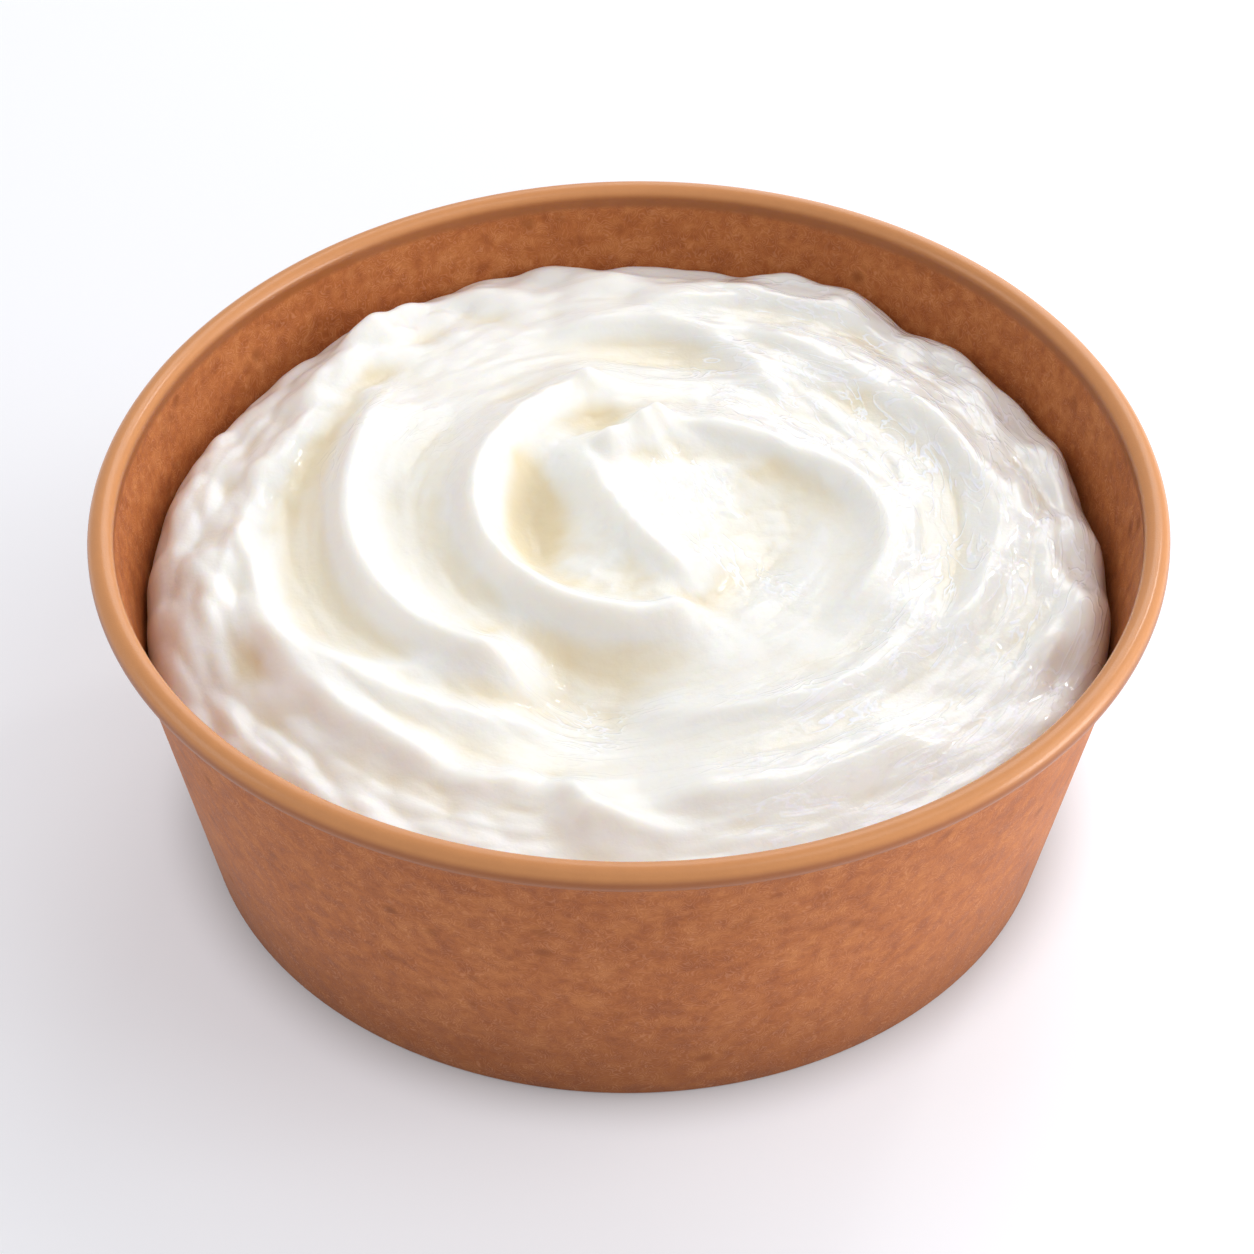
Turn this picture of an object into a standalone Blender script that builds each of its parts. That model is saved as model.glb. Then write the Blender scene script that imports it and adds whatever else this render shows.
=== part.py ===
"""A round kraft paper bowl filled with plain yogurt, swirled with the back of a spoon.

Two separate pieces: the paper bowl, one body with its rolled rim, and the yogurt, one body from
the bowl's floor up to its swirled top. Metres, +Z up. The origin lies where the bowl stands, under
the middle of its rim, and the side seen in the photograph faces -Y.
"""

import math
from dataclasses import dataclass

import bpy
import numpy as np

MM = 0.001

# Paper bowl
RIM_RADIUS = 75.0 * MM
BOWL_HEIGHT = 55.6 * MM
BASE_RADIUS = 61.8 * MM
NECK_RADIUS = 72.1 * MM
NECK_HEIGHT = 51.9 * MM
PAPER = 0.6 * MM
ROLL_WIDTH = 3.6 * MM
ROLL_HEIGHT = 3.7 * MM
ROLL_START = math.radians(195)
ROLL_END = math.radians(-124)
ROLL_STEPS = 11
FLOOR_RECESS = 5.0 * MM
FOOT_WIDTH = 1.6 * MM
FOOT_BEVEL = 0.3 * MM
FLOOR_FILLET = 2.0 * MM
FILLET_STEPS = 3
BOWL_SEGMENTS = 88

# A filled paper bowl is a little out of round at its rim, and round at its foot. Each lobe term is
# the number of lobes round the rim, then its cosine and sine parts as shares of the radius.
RIM_LOBES = ((2, -0.0168, 0.0052), (3, -0.0034, -0.0057))
FOOT_SHIFT = -0.66 * MM

# Yogurt body. Below here the surface is in millimetres, on the rim's own middle.
CLEARANCE = 0.3 * MM
YOGURT_SEGMENTS = 128
TOP_RINGS = 34
EDGE_RINGS = (0.98, 0.992, 1.0)
LEVEL = 43.5
SLOPE_X = 0.012
SLOPE_Y = 0.022
EDGE_BAND = 0.115
EDGE_DROP = 7.6
EDGE_DROP_X = 1.2
EDGE_DROP_Y = -1.7
EDGE_DROP_TWICE = 2.4
PATH_STEPS = 48
CREST_BLEND = 1.0
PEAK_TIP = 0.3
PEAK_FALL = 1.4


@dataclass(frozen=True)
class Stroke:
    """A ridge left by the spoon: a bent path in mm, turning by bend degrees per 100 mm."""

    x: float
    y: float
    heading: float
    length: float
    bend: tuple
    height: float
    left: float
    right: float
    crest: float = 2.0
    fade: tuple = (10.0, 10.0)


@dataclass(frozen=True)
class Mound:
    """A round rise in mm, soft or pointed, or a hollow where its height is below zero."""

    x: float
    y: float
    radius_x: float
    radius_y: float
    turn: float
    height: float
    pointed: bool = False


# Where each ridge starts, its heading in degrees, its length, its bend at the start, middle and
# end, its height, and the width of its left and right flanks. A narrow flank is the steep side.
STROKES = {
    "back arc": Stroke(-15.2, 48, 29, 50, (20, -310, 250), 1.9, 2.7, 1.6, 2.1, (13, 9)),
    "long right arc": Stroke(13.4, 53, -29, 95, (-19, -126, -161), 2.0, 2.6, 1.4, 2.0, (14, 12)),
    "back lobe": Stroke(-2, 56.5, -2, 42, (280, -240, -235), 1.3, 4.0, 1.2, 1.7),
    "scoop rim": Stroke(5, 27.5, -13, 67, (67, -274, -115), 2.4, 3.3, 1.4, 1.8, (9, 14)),
    "sharp fold": Stroke(-6.2, 18.9, -84, 34, (189, 131, -18), 4.2, 7.0, 2.8, 1.2, (8, 7)),
    "peak crest": Stroke(-6.1, 18.9, 33, 12, (13, 74, 4), 2.6, 1.6, 4.0, 0.9, (4, 3)),
    "inner ridge": Stroke(-6.6, 34.9, -138, 81, (79, 235, 361), 4.9, 2.8, 2.1, 1.9, (8, 7)),
    "inner double": Stroke(-14, 32, -141, 67, (195, 215, 195), 1.0, 3.2, 2.5, 1.7, (7, 7)),
    "left ridge": Stroke(-33, 40.6, -109, 86, (-14, 148, 190), 4.4, 4.2, 2.1, 2.0, (20, 12)),
    "outer left ridge": Stroke(-54.3, 8.6, -83, 70, (-34, 126, 0), 3.4, 3.2, 2.1, 2.0, (14, 12)),
    "left fold": Stroke(-44.8, -18.3, -76, 44, (425, 141, 96), 1.7, 2.4, 1.6, 1.6, (12, 12)),
    "wall ridge": Stroke(-59, 28, -113, 95, (85, 175, 160), 1.8, 2.7, 4.9, 2.0),
    "upper left ridge": Stroke(-29, 52, -159, 90, (310, 20, 320), 2.4, 1.3, 3.1, 2.5),
    "back left crease": Stroke(-49.7, 28.3, 74, 53, (-20, -165, -70), 1.2, 1.5, 1.2, 1.1),
    "front fold": Stroke(-24.7, -45.3, -25, 16, (175, 466, -447), 2.0, 2.1, 1.5, 1.6, (6, 7)),
    "front lip": Stroke(-9.8, -43.1, -72, 25, (28, 456, -199), 2.8, 3.0, 1.8, 1.6, (7, 12)),
    "front lobe": Stroke(-8, -49.5, -64, 10, (6, 55, 5), 1.6, 2.0, 1.4, 1.5, (5, 6)),
    "front right ridge": Stroke(0, -49.2, 6, 48, (-100, 145, 15), 2.6, 5.0, 3.4, 2.0, (11, 13)),
    "scoop apron": Stroke(39.8, -6, -80, 60, (-315, -200, -150), 1.8, 2.7, 3.3, 1.8),
    "outer right ridge": Stroke(37, 35.5, -49, 90, (-65, -40, -40), 1.2, 2.4, 2.8, 1.7),
}

MOUNDS = {
    "peak": Mound(3.7, 26.2, 3.8, 3.4, 0, 5.4, True),
    "back peak": Mound(-6.6, 35.6, 4.8, 4.2, 30, 4.6, True),
    "shoulder": Mound(-5.9, 19.0, 6.0, 4.8, 27, 2.8),
    "saddle": Mound(-6.5, 28.5, 6.0, 4.0, 20, -1.6),
    "scoop": Mound(19.0, 6.5, 10.8, 18.5, -30, -3.8),
    "hollow": Mound(-14.0, 4.0, 5.5, 9.5, 3, -3.6),
    "front dip": Mound(-3.5, -28.5, 15.0, 12.0, -16, -3.4),
    "back dip": Mound(4.8, 46.4, 16.0, 6.4, -5, -2.0),
    "left rise": Mound(-27.0, 15.0, 13.0, 25.0, 0, 2.6),
}

PAPER_COLOR = (0.38, 0.16, 0.074, 1.0)
YOGURT_COLOR = (0.88, 0.87, 0.81, 1.0)


def wall_radius(z):
    """Outer radius of the round, tapered wall at height z."""
    return BASE_RADIUS + (NECK_RADIUS - BASE_RADIUS) * z / NECK_HEIGHT


def rim_lobe(angle):
    """Share by which the rim's radius differs from round at an angle about the bowl's axis."""
    return sum(c * np.cos(n * angle) + s * np.sin(n * angle) for n, c, s in RIM_LOBES)


def out_of_round(x, y, z):
    """Carry points of the round bowl over to the real, slightly oval one."""
    rise = z / BOWL_HEIGHT
    stretch = 1.0 + rise * rim_lobe(np.arctan2(y, x))
    return x * stretch + FOOT_SHIFT * (1.0 - rise), y * stretch


def rim_centre():
    """Middle of the oval rim's box, which becomes the origin in X and Y."""
    turns = np.linspace(0.0, 2.0 * math.pi, BOWL_SEGMENTS, endpoint=False)
    x, y = out_of_round(RIM_RADIUS * np.cos(turns), RIM_RADIUS * np.sin(turns), BOWL_HEIGHT)
    return (x.min() + x.max()) / 2.0, (y.min() + y.max()) / 2.0


def smooth_step(share):
    """Ease from 0 to 1 with flat ends."""
    t = np.clip(share, 0.0, 1.0)
    return t * t * (3.0 - 2.0 * t)


def stroke_path(stroke):
    """Points and directions along a stroke, whose bend follows a parabola through three values."""
    u = np.linspace(0.0, 1.0, PATH_STEPS + 1)
    start, middle, end = np.radians(stroke.bend) / 100.0
    bend = start * (1 - u) * (1 - 2 * u) + middle * 4 * u * (1 - u) + end * u * (2 * u - 1)
    step = stroke.length / PATH_STEPS
    turn = np.concatenate([[0.0], np.cumsum((bend[1:] + bend[:-1]) / 2.0)]) * step
    angle = math.radians(stroke.heading) + turn
    c, s = np.cos(angle), np.sin(angle)
    x = stroke.x + np.concatenate([[0.0], np.cumsum((c[1:] + c[:-1]) / 2.0)]) * step
    y = stroke.y + np.concatenate([[0.0], np.cumsum((s[1:] + s[:-1]) / 2.0)]) * step
    return x, y, c, s, u * stroke.length


def stroke_height(stroke, x, y):
    """Height that one ridge adds at points x, y: a rounded crest with hollow flanks."""
    path_x, path_y, c, s, run = stroke_path(stroke)
    near = ((x[:, None] - path_x) ** 2 + (y[:, None] - path_y) ** 2).argmin(axis=1)
    dx, dy = x - path_x[near], y - path_y[near]
    along = np.clip(run[near] + dx * c[near] + dy * s[near], 0.0, stroke.length)
    across = dy * c[near] - dx * s[near]
    side = np.tanh(across / CREST_BLEND)
    width = (stroke.left + stroke.right + (stroke.left - stroke.right) * side) / 2.0
    flank = np.exp(-(np.sqrt(across ** 2 + stroke.crest ** 2) - stroke.crest) / width)
    fade = smooth_step(along / stroke.fade[0])
    fade = fade * smooth_step((stroke.length - along) / stroke.fade[1])
    return stroke.height * flank * fade


def mound_height(mound, x, y):
    """Height that one soft mound or hollow adds at points x, y."""
    c, s = math.cos(math.radians(mound.turn)), math.sin(math.radians(mound.turn))
    dx, dy = x - mound.x, y - mound.y
    u = (c * dx + s * dy) / mound.radius_x
    v = (c * dy - s * dx) / mound.radius_y
    fall = u * u + v * v
    if mound.pointed:
        fall = PEAK_FALL * (np.sqrt(fall + PEAK_TIP ** 2) - PEAK_TIP)
    return mound.height * np.exp(-fall)


def surface_height(x, y, share):
    """Height of the yogurt in mm at points x, y in mm; share is 0 at the middle, 1 at the wall."""
    angle = np.arctan2(y, x)
    drop = EDGE_DROP + EDGE_DROP_X * np.cos(angle) + EDGE_DROP_Y * np.sin(angle)
    drop = drop + EDGE_DROP_TWICE * np.cos(2.0 * angle)
    edge = np.clip((share - 1.0 + EDGE_BAND) / EDGE_BAND, 0.0, 1.0)
    height = LEVEL + SLOPE_X * x + SLOPE_Y * y - drop * (1.0 - np.sqrt(1.0 - 0.97 * edge ** 2))
    for stroke in STROKES.values():
        height = height + stroke_height(stroke, x, y)
    for mound in MOUNDS.values():
        height = height + mound_height(mound, x, y)
    return height


def arc(centre_x, centre_z, radius_x, radius_z, start, end, steps):
    """Points of an elliptical arc in the profile's plane."""
    turns = (start + (end - start) * i / steps for i in range(steps + 1))
    return [(centre_x + radius_x * math.cos(t), centre_z + radius_z * math.sin(t)) for t in turns]


def bowl_profile():
    """Closed section of the bowl: inner floor, inner wall, rolled rim, outer wall, foot, recess."""
    floor = FLOOR_RECESS + PAPER
    corner_x = wall_radius(floor + FLOOR_FILLET) - PAPER - FLOOR_FILLET
    roll_x = RIM_RADIUS - ROLL_WIDTH / 2.0
    roll_z = BOWL_HEIGHT - ROLL_HEIGHT / 2.0
    inner_neck = NECK_HEIGHT - PAPER
    foot_inner = BASE_RADIUS - FOOT_WIDTH
    points = [(0.0, floor)]
    points += arc(corner_x, floor + FLOOR_FILLET, FLOOR_FILLET, FLOOR_FILLET,
                  math.radians(-90), math.radians(-8), FILLET_STEPS)
    points.append((wall_radius(inner_neck) - PAPER, inner_neck))
    points += arc(roll_x, roll_z, ROLL_WIDTH / 2.0, ROLL_HEIGHT / 2.0,
                  ROLL_START, ROLL_END, ROLL_STEPS)
    points += [(wall_radius(FOOT_BEVEL), FOOT_BEVEL), (BASE_RADIUS - FOOT_BEVEL, 0.0),
               (foot_inner + FOOT_BEVEL, 0.0), (foot_inner, FOOT_BEVEL),
               (foot_inner, FLOOR_RECESS), (0.0, FLOOR_RECESS)]
    return points


def yogurt_profile():
    """Section of a plain round disc of yogurt, whose top rings are raised to the swirls later."""
    floor = FLOOR_RECESS + PAPER + CLEARANCE
    corner = floor + FLOOR_FILLET + CLEARANCE
    edge = wall_radius(LEVEL * MM) - PAPER - CLEARANCE
    shares = [i / TOP_RINGS for i in range(TOP_RINGS)] + list(EDGE_RINGS)
    points = [(share * edge, LEVEL * MM) for share in shares]
    points.append((wall_radius(corner) - PAPER - CLEARANCE, corner))
    points.append((wall_radius(floor) - PAPER - CLEARANCE - FLOOR_FILLET, floor))
    points.append((0.0, floor))
    return points


def turned(name, profile, segments):
    """Turn a profile about Z with a Screw modifier and return it as a plain, closed mesh."""
    mesh = bpy.data.meshes.new(f"{name} profile")
    edges = [(i, i + 1) for i in range(len(profile) - 1)]
    mesh.from_pydata([(x, 0.0, z) for x, z in profile], edges, [])
    outline = bpy.data.objects.new(f"{name} profile", mesh)
    bpy.context.scene.collection.objects.link(outline)
    screw = outline.modifiers.new("Screw", "SCREW")
    screw.axis = "Z"
    screw.steps = segments
    screw.render_steps = segments
    screw.use_merge_vertices = True
    screw.merge_threshold = 0.00001
    screw.use_normal_calculate = False
    depsgraph = bpy.context.evaluated_depsgraph_get()
    solid = bpy.data.meshes.new_from_object(outline.evaluated_get(depsgraph))
    bpy.data.objects.remove(outline)
    solid.name = name
    return solid


def points_of(mesh):
    """Corner points of a mesh as three arrays."""
    flat = np.empty(len(mesh.vertices) * 3)
    mesh.vertices.foreach_get("co", flat)
    return flat.reshape(-1, 3).T


def move_points(mesh, x, y, z):
    """Write new corner points, measured from the middle of the rim's box."""
    centre_x, centre_y = rim_centre()
    flat = np.stack([x - centre_x, y - centre_y, z], axis=1).ravel()
    mesh.vertices.foreach_set("co", flat)
    mesh.update()


def paper_material():
    """Uncoated brown kraft paper."""
    return plain_material("kraft paper", PAPER_COLOR, 0.6)


def yogurt_material():
    """Smooth wet yogurt."""
    return plain_material("plain yogurt", YOGURT_COLOR, 0.25)


def plain_material(name, color, roughness):
    """A Principled material with one colour and roughness."""
    material = bpy.data.materials.new(name)
    material.use_nodes = True
    shader = material.node_tree.nodes["Principled BSDF"]
    shader.inputs["Base Color"].default_value = color
    shader.inputs["Roughness"].default_value = roughness
    shader.inputs["Metallic"].default_value = 0.0
    return material


def add_piece(name, mesh, material, collection):
    """Make the named object of one solid piece, shaded smooth."""
    piece = bpy.data.objects.new(name, mesh)
    mesh.materials.append(material)
    mesh.shade_smooth()
    collection.objects.link(piece)
    return piece


def build_bowl():
    """The paper bowl's mesh, turned and then pulled out of round."""
    mesh = turned("paper_bowl", bowl_profile(), BOWL_SEGMENTS)
    x, y, z = points_of(mesh)
    oval_x, oval_y = out_of_round(x, y, z)
    move_points(mesh, oval_x, oval_y, z)
    return mesh


def build_yogurt():
    """The yogurt's mesh: a turned disc with its top raised to the swirls, fitted to the wall."""
    mesh = turned("yogurt", yogurt_profile(), YOGURT_SEGMENTS)
    x, y, z = points_of(mesh)
    level = LEVEL * MM
    edge = wall_radius(level) - PAPER - CLEARANCE
    share = np.hypot(x, y) / edge
    top = np.isclose(z, level, atol=0.01 * MM)

    oval_x, oval_y = out_of_round(x, y, z)
    height = surface_height(oval_x / MM, oval_y / MM, share) * MM

    # The wall tapers, so a ring moves in or out with its own height to keep the same clearance.
    taper = 1.0 + share * (wall_radius(height) - wall_radius(level)) / edge
    fitted_x, fitted_y = out_of_round(x * taper, y * taper, height)
    height = np.where(top, surface_height(fitted_x / MM, fitted_y / MM, share) * MM, z)
    oval_x = np.where(top, fitted_x, oval_x)
    oval_y = np.where(top, fitted_y, oval_y)
    move_points(mesh, oval_x, oval_y, height)
    return mesh


def main():
    """Clear the scene and build the two pieces."""
    for old in list(bpy.data.objects):
        bpy.data.objects.remove(old)
    collection = bpy.data.collections.new("yogurt bowl")
    bpy.context.scene.collection.children.link(collection)
    add_piece("paper_bowl", build_bowl(), paper_material(), collection)
    add_piece("yogurt", build_yogurt(), yogurt_material(), collection)


main()
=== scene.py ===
"""Looks of a round kraft paper bowl filled with plain yogurt, swirled with the back of a spoon.

The paper bowl is turned and pulled slightly out of round by one node tree. The yogurt's top is
raised by the spoon's strokes, a second node tree wrinkles its wet skin, and both pieces get
procedural finishes. A pale floor, soft studio lights and the photograph's camera complete it.
"""

from __future__ import annotations

import logging
import math
from dataclasses import dataclass, field
from enum import Enum
from functools import partial
from typing import Any

import bpy
import numpy as np
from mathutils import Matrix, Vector

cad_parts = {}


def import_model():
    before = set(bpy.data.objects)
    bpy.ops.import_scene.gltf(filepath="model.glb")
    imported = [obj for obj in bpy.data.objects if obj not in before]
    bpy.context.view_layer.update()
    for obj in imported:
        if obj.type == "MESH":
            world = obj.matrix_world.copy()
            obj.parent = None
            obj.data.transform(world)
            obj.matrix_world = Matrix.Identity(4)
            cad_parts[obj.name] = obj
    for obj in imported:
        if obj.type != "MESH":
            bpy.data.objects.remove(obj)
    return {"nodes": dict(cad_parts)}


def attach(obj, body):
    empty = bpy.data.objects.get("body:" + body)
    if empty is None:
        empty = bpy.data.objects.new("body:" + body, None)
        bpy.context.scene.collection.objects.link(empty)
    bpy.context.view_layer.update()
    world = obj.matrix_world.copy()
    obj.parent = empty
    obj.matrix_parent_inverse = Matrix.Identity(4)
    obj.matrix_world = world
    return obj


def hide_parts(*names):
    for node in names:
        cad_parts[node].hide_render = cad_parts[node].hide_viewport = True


MM = 0.001
ROOT = "root"
MATH = "ShaderNodeMath"
RANGE = "ShaderNodeMapRange"
MIX = "ShaderNodeMix"
NOISE = "ShaderNodeTexNoise"
CELLS = "ShaderNodeTexVoronoi"
BUMP = "ShaderNodeBump"
SPLIT = "ShaderNodeSeparateXYZ"
JOIN = "ShaderNodeCombineXYZ"
ATTRIBUTE = "ShaderNodeAttribute"
MOVE = "GeometryNodeSetPosition"
EASED = {"interpolation_type": "SMOOTHSTEP"}
COLOURS = {"data_type": "RGBA"}
log = logging.getLogger("yogurt_bowl")


def linear(hex_colour: str) -> tuple[float, float, float, float]:
    """Turn an sRGB hex colour into the linear colour that a shader takes.

    Args:
        hex_colour: Six hex digits after a hash sign.

    Returns:
        Red, green, blue and an alpha of 1.
    """
    parts = (int(hex_colour[i:i + 2], 16) / 255.0 for i in (1, 3, 5))
    red, green, blue = (c / 12.92 if c <= 0.04045 else ((c + 0.055) / 1.055) ** 2.4 for c in parts)
    return red, green, blue, 1.0


def feed(tree: bpy.types.NodeTree, node: bpy.types.Node, inputs: dict[Any, Any]) -> None:
    """Link a node's inputs to what feeds them, or set their values.

    Args:
        tree: The node tree.
        node: The node to feed.
        inputs: The input's name, or its place among those in use, with a node, a socket or a
            plain value. A node stands for its first output in use.
    """
    in_use = [socket for socket in node.inputs if socket.enabled]
    for key, source in inputs.items():
        target = in_use[key] if isinstance(key, int) else node.inputs[key]
        if isinstance(source, bpy.types.Node):
            source = next(socket for socket in source.outputs if socket.enabled)
        if isinstance(source, bpy.types.NodeSocket):
            tree.links.new(source, target)
        else:
            target.default_value = source


def add_node(tree: bpy.types.NodeTree, kind: str, settings: dict[str, Any] | str | None = None,
             *first: Any, **named: Any) -> bpy.types.Node:
    """Add a node to a tree, set it up and connect it.

    Args:
        tree: The node tree.
        kind: The node's type name.
        settings: Attribute names with their values, or just the name of its operation.
        first: What feeds its first inputs in use, in order. A Map Range takes the value, the
            range it lies in and the range it goes to.
        named: What feeds the inputs called by name, with _ for a blank.

    Returns:
        The new node.
    """
    node = tree.nodes.new(kind)
    if isinstance(settings, str):
        settings = {"operation": settings}
    for key, value in (settings or {}).items():
        setattr(node, key, value)
    feed(tree, node, dict(enumerate(first)))
    feed(tree, node, {name.replace("_", " "): value for name, value in named.items()})
    return node


@dataclass(frozen=True)
class OutOfRound:
    """How a filled paper bowl bulges: its rim is slightly oval, its foot is round.

    Each lobe holds the number of lobes round the rim, then its cosine and sine parts as shares
    of the radius. The foot sits foot_shift metres to one side of the rim's middle. The plain
    solid's rim, with rim_radius and rim_steps, gives the origin.
    """

    height: float = 55.6 * MM
    lobes: tuple[tuple[int, float, float], ...] = ((2, -0.0168, 0.0052), (3, -0.0034, -0.0057))
    foot_shift: float = -0.66 * MM
    rim_radius: float = 75.0 * MM
    rim_steps: int = 88

    def lobe(self, angle: np.ndarray) -> np.ndarray:
        """Share by which the rim's radius differs from round at each angle."""
        return sum(c * np.cos(n * angle) + s * np.sin(n * angle) for n, c, s in self.lobes)

    def carry(self, x: np.ndarray, y: np.ndarray, z: Any) -> tuple[np.ndarray, np.ndarray]:
        """Carry points of the round bowl over to the oval one.

        Args:
            x: Points across the bowl.
            y: Points along the view.
            z: Their heights.

        Returns:
            The moved x and y.
        """
        rise = z / self.height
        stretch = 1.0 + rise * self.lobe(np.arctan2(y, x))
        return x * stretch + self.foot_shift * (1.0 - rise), y * stretch

    def centre(self) -> tuple[float, float]:
        """Middle of the oval rim's box, which is the origin in X and Y.

        Returns:
            Its x and y.
        """
        turns = np.linspace(0.0, 2.0 * math.pi, self.rim_steps, endpoint=False)
        x, y = self.carry(self.rim_radius * np.cos(turns), self.rim_radius * np.sin(turns),
                          self.height)
        return float(x.min() + x.max()) / 2.0, float(y.min() + y.max()) / 2.0


@dataclass(frozen=True)
class KraftPaperFinish:
    """Unbleached kraft board, pressed from long brown fibres and thinly coated against grease.

    The eye sees a warm mottled brown, darker flecks of bark, short pale fibres lying every way,
    and a soft satin gloss along the rolled rim.
    """

    slot: str = "kraft_paper"
    pale: str = "#C37A45"
    mid: str = "#B36836"
    dark: str = "#9F572B"
    fibre: str = "#E8B088"
    shade_fibre: str = "#8A4E27"
    fleck: str = "#8A4A20"
    roll_painted_light: str = "#D4925A"
    roll_painted_shade: str = "#9A5824"
    foot_painted_shade: str = "#7C441C"
    cloud_mm: float = 8.0
    mottle_mm: float = 2.2
    fibre_mm: float = 1.6
    fleck_mm: float = 5.0
    tooth_mm: float = 0.30
    roughness: float = 0.52
    roll_height: float = 51.8 * MM
    shine: float = 0.20
    roll_shine: float = 0.55
    roll_roughness: float = 0.24
    ior: float = 1.5

    def material(self) -> bpy.types.Material:
        """Build the kraft board's material.

        Returns:
            The material.
        """
        material = bpy.data.materials.new("kraft board, pressed and coated")
        material.use_nodes = True
        tree = material.node_tree
        add = partial(add_node, tree)
        place = add("ShaderNodeTexCoord").outputs["Object"]

        # Cloudy pulp: soft blotches of a few millimetres with a finer grain on them.
        cloud = add(NOISE, None, place, Scale=1.0 / (self.cloud_mm * MM), Detail=2.0,
                    Roughness=0.5)
        mottle = add(NOISE, None, place, Scale=1.0 / (self.mottle_mm * MM), Detail=4.0,
                     Roughness=0.6, Distortion=0.25)
        blotch = add(MATH, "MULTIPLY_ADD", cloud, 0.30, -0.03)
        tone = add(MATH, "MULTIPLY_ADD", mottle, 0.76, blotch)
        colour = add("ShaderNodeValToRGB", None, tone)
        stops = colour.color_ramp.elements
        stops.new(0.5)
        for stop, spot, tint in zip(stops, (0.34, 0.50, 0.66), (self.dark, self.mid, self.pale)):
            stop.position, stop.color = spot, linear(tint)

        # The rolled rim is glossy. Its crown is painted pale as painted light, and the band below
        # it is painted darker as painted shade.
        height, neck = add(SPLIT, None, place).outputs["Z"], self.roll_height
        roll = add(RANGE, EASED, height, neck, neck + 1.2 * MM, 0.0, 1.0)
        most = add(MATH, "MULTIPLY", roll, 0.85)
        painted_light_crown = add(RANGE, EASED, height, neck + 2.0 * MM, neck + 3.1 * MM, 0.0, 1.0)
        rolled = add(MIX, COLOURS, painted_light_crown, linear(self.roll_painted_shade), linear(self.roll_painted_light))
        rolled = add(MIX, COLOURS, most, colour, rolled)
        # Painted shade: the wall is painted darker towards the foot, standing in for the shade
        # near the table.
        foot_painted_shade_share = add(RANGE, EASED, height, 1.0 * MM, 26.0 * MM, 0.5, 0.0)
        with_foot_painted_shade = add(MIX, COLOURS, foot_painted_shade_share, rolled, linear(self.foot_painted_shade))

        # Fibres: the level lines of a distorted noise, folded over and over, read as curled
        # fibres, pale ones and their shaded sides. They are drawn about three times as coarse as
        # pulp fibres, so that they show. Rolling has smoothed them away on the rim.
        fibre = add(NOISE, None, place, Scale=1.0 / (self.fibre_mm * MM), Detail=0.6,
                    Roughness=0.5, Distortion=0.5)
        curl = add(MATH, "PINGPONG", fibre, 0.05)
        thin = add(NOISE, None, place, Scale=0.6 / (self.fibre_mm * MM), Detail=1.0)
        broken = add(RANGE, EASED, thin, 0.36, 0.60, 0.4, 1.0)
        line = add(RANGE, EASED, curl, 0.0, 0.022, 0.20, 0.0)
        unrolled = add(MATH, "SUBTRACT", 1.0, roll)
        loose = add(MATH, "MULTIPLY", broken, unrolled)
        pale_line = add(MATH, "MULTIPLY", line, loose)
        side = add(RANGE, EASED, curl, 0.026, 0.05, 0.0, 0.18)
        dark_line = add(MATH, "MULTIPLY", side, unrolled)
        shaded = add(MIX, COLOURS, dark_line, with_foot_painted_shade, linear(self.shade_fibre))
        fibrous = add(MIX, COLOURS, pale_line, shaded, linear(self.fibre))

        # Flecks: a few cells of bark, each a small dark spot with a soft edge.
        cells = add(CELLS, {"feature": "F1"}, place, Scale=1.0 / (self.fleck_mm * MM),
                    Randomness=1.0)
        spot = add(RANGE, EASED, cells, 0.05, 0.34, 1.0, 0.0)
        pick = add("ShaderNodeSeparateColor", None, cells.outputs["Color"])
        few = add(RANGE, None, pick, 0.48, 0.98, 0.0, 0.75)
        off_roll = add(MATH, "MULTIPLY", few, unrolled)
        fleck = add(MATH, "MULTIPLY", spot, off_roll)

        tooth = add(NOISE, None, place, Scale=1.0 / (self.tooth_mm * MM), Detail=2.0)
        relief = add(MATH, "MULTIPLY_ADD", line, 1.2, tooth)
        feed(tree, tree.nodes["Principled BSDF"], {
            "Base Color": add(MIX, COLOURS, fleck, fibrous, linear(self.fleck)),
            "Roughness": add(RANGE, None, mottle, 0.3, 0.7, self.roughness - 0.07,
                             self.roughness + 0.08),
            "Coat Weight": add(MATH, "MULTIPLY", roll, self.roll_shine),
            "Normal": add(BUMP, None, Height=relief, Strength=0.5, Distance=0.05 * MM),
            "IOR": self.ior, "Specular IOR Level": self.shine,
            "Coat Roughness": self.roll_roughness})
        return material


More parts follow.
